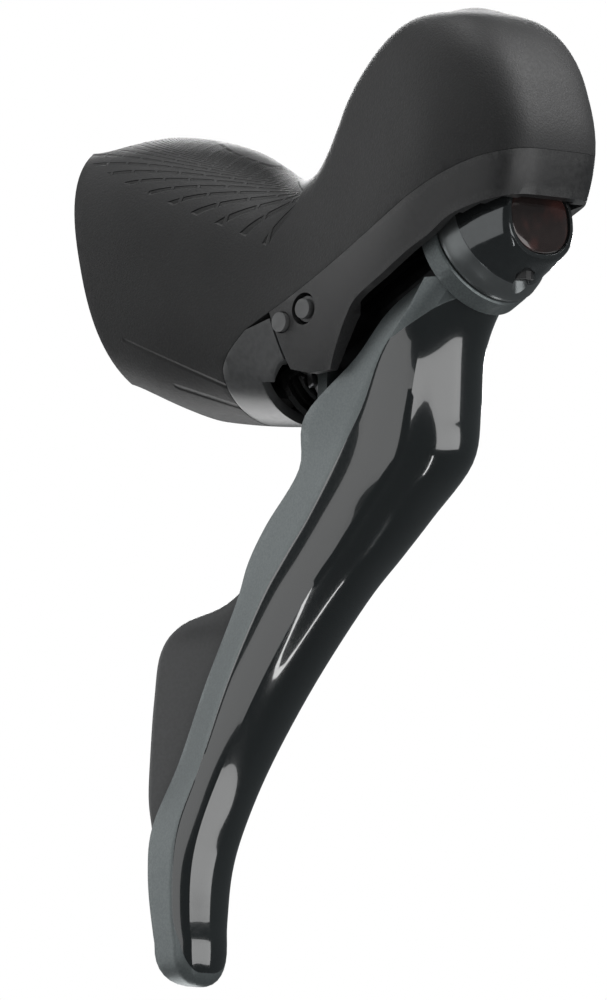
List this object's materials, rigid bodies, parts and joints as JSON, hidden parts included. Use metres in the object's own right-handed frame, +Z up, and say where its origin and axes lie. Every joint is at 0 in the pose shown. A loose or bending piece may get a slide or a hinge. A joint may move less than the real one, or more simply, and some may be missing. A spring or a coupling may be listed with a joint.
{
  "type": "brake shift lever",
  "caption": "Drop-bar brake and shift lever: tall rubber-covered hydraulic horn on a handlebar clamp, long curved glossy blade, small release paddle behind it.",
  "frame": {"origin": "centre of the handlebar clamp, on the handlebar's axis", "axes": "-Y forwards, +Z up, -X towards the rider's outer side (right-hand lever); the bar leans 12 degrees about X"},
  "size_m": [0.0449, 0.1228, 0.1846],
  "materials": {
    "bracket_composite": "satin black composite",
    "hood_rubber": "matte black rubber",
    "cover_plastic": "smooth dark grey plastic",
    "aluminium": "machined",
    "steel": "machined",
    "spring_steel": "dark drawn wire",
    "bush_bronze": "sintered bearing metal",
    "black_metal": "black anodised",
    "black_gloss": "glossy black",
    "head_gloss": "glossy dark grey, mirror-like",
    "plate_gloss": "glossy dark brown, blank",
    "blade_paint": "satin grey flank and glossy near-black front",
    "paddle_paint": "satin dark grey"
  },
  "bodies": {
    "root": {"bracket_body": "bracket_composite", "hood": "hood_rubber", "lower_cover": "cover_plastic", "clamp_band": "steel", "clamp_bolt": "steel", "clamp_nut": "steel", "master_cylinder": "aluminium", "piston_spring": "spring_steel", "hose_joint_bolt": "aluminium", "reservoir_diaphragm": "hood_rubber", "reservoir_lid": "bracket_composite", "lid_screw_1": "steel", "lid_screw_2": "steel", "lid_screw_3": "steel", "lid_screw_4": "steel", "bleed_screw": "steel", "bleed_o_ring": "hood_rubber", "brake_axle": "steel", "axle_clip": "spring_steel", "axle_bush_outer": "bush_bronze", "axle_bush_inner": "bush_bronze", "rest_pin": "steel", "cable_guide": "cover_plastic"},
    "piston_body": {"piston": "aluminium", "primary_seal": "hood_rubber", "secondary_seal": "hood_rubber", "push_rod": "steel"},
    "carrier_body": {"lever_carrier": "black_metal", "thrust_roller": "steel", "roller_pin": "steel", "reach_screw": "steel", "return_spring": "spring_steel", "shift_axle": "steel", "axle_nut": "steel", "shift_bush_front": "bush_bronze", "shift_bush_rear": "bush_bronze", "cone_head": "head_gloss", "name_plate": "plate_gloss", "name_plate_screw": "steel", "unit_cover": "black_gloss"},
    "blade_body": {"shift_blade": "blade_paint", "blade_bush": "bush_bronze", "blade_lug_bush": "bush_bronze"},
    "paddle_body": {"shift_paddle": "paddle_paint"},
    "drum_body": {"cable_drum": "black_gloss", "ratchet_wheel": "steel"}
  },
  "joints": [
    {"name": "brake_pull", "type": "hinge", "parent": "root", "child": "carrier_body", "pos_m": [0, -0.054, -0.01], "axis": [1, 0, 0], "range_deg": [0, 16], "stiffness_Nm_per_rad": 0.6, "springref_deg": -28.65},
    {"name": "piston_stroke", "type": "slide", "parent": "root", "child": "piston_body", "axis": [0, -0.866, 0.5], "range_m": [0, 0.0041]},
    {"name": "shift_swing", "type": "hinge", "parent": "carrier_body", "child": "blade_body", "pos_m": [0, -0.0875, 0], "axis": [0, -0.891, 0.454], "range_deg": [0, 22], "stiffness_Nm_per_rad": 0.4, "springref_deg": -22.92},
    {"name": "release_swing", "type": "hinge", "parent": "blade_body", "child": "paddle_body", "pos_m": [0, -0.0875, 0], "axis": [0, -0.891, 0.454], "range_deg": [0, 12], "stiffness_Nm_per_rad": 0.15, "springref_deg": -20.05},
    {"name": "drum_turn", "type": "hinge", "parent": "carrier_body", "child": "drum_body", "pos_m": [0, -0.0875, 0], "axis": [0, -0.891, 0.454], "range_deg": [0, 22]}
  ],
  "couplings": [
    {"joint": "piston_stroke", "follows": "brake_pull", "m_per_rad": 0.0145},
    {"joint": "drum_turn", "follows": "shift_swing", "ratio": 1}
  ]
}
